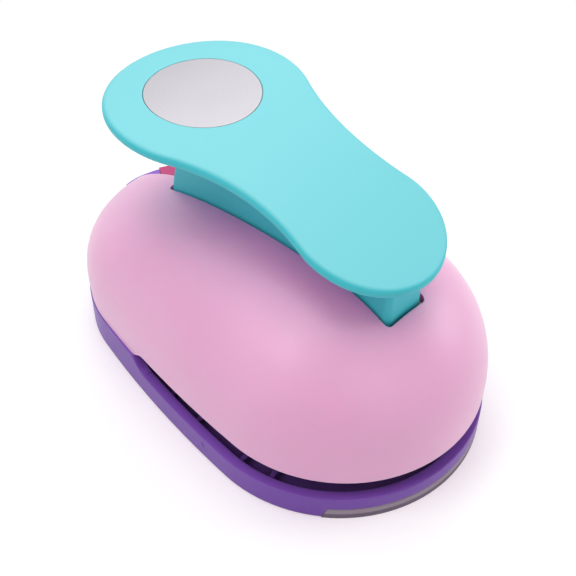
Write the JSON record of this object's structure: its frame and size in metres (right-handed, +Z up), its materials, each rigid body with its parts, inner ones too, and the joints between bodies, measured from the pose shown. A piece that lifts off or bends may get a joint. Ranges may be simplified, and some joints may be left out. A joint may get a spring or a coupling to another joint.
{
  "type": "lever shape punch",
  "caption": "Craft lever punch for paper: a palm lever on an egg-shaped body drives a round punch through a die plate behind a wide front mouth, with a storage lock at the rear.",
  "frame": {"origin": "centre of the body's outline in plan, on the surface it stands on", "axes": "+Z up, +Y to the palm end of the lever and the storage lock, -Y to the paper mouth, +X to the right as seen from the mouth end"},
  "size_m": [0.0854, 0.1352, 0.082],
  "materials": {
    "purple_plastic": "moulded, satin gloss",
    "grey_plastic": "moulded, matte",
    "pink_plastic": "moulded, satin gloss",
    "turquoise_plastic": "moulded, satin gloss",
    "crimson_plastic": "moulded, gloss",
    "satin_silver": "satin",
    "plate_steel": "zinc plated sheet",
    "tool_steel": "ground",
    "spring_steel": "drawn wire",
    "dark_steel": "blackened"
  },
  "bodies": {
    "frame": {"base_shell": "purple_plastic", "bottom_cover": "grey_plastic", "bottom_screws": "dark_steel", "die_plate": "plate_steel", "throat_spacer": "plate_steel", "guide_plate": "plate_steel", "frame_screws": "dark_steel", "spring_posts": "tool_steel", "post_caps": "dark_steel", "return_springs": "spring_steel", "pivot_bracket": "plate_steel", "bracket_screws": "dark_steel", "pivot_pin": "tool_steel", "pin_clip": "dark_steel", "top_cover": "pink_plastic", "cover_screws": "dark_steel", "lock_housing": "purple_plastic", "housing_screws": "dark_steel"},
    "lever_arm": {"lever": "turquoise_plastic", "lever_disc": "satin_silver", "roller_axle": "tool_steel"},
    "roller": {"press_roller": "tool_steel"},
    "punch": {"punch_block": "tool_steel", "pressure_bar": "plate_steel", "bar_screws": "dark_steel"},
    "lock": {"lock_button": "crimson_plastic"}
  },
  "joints": [
    {"name": "lever_hinge", "type": "hinge", "parent": "frame", "child": "lever_arm", "pos_m": [0, -0.053, 0.0355], "axis": [-1, 0, 0], "range_deg": [0, 11]},
    {"name": "punch_slide", "type": "slide", "parent": "frame", "child": "punch", "axis": [0, 0, -1], "range_m": [0, 0.00515], "stiffness_N_per_m": 800, "springref_m": -0.0075, "deforming": ["return_springs"]},
    {"name": "roller_spin", "type": "hinge", "parent": "lever_arm", "child": "roller", "pos_m": [0, -0.0262, 0.0355], "axis": [1, 0, 0], "continuous": true},
    {"name": "lock_slide", "type": "slide", "parent": "frame", "child": "lock", "axis": [-0.4446, -0.8957, 0], "range_m": [0, 0.005]}
  ],
  "couplings": [
    {"joint": "lever_hinge", "follows": "punch_slide", "rad_per_m": 37.31}
  ]
}
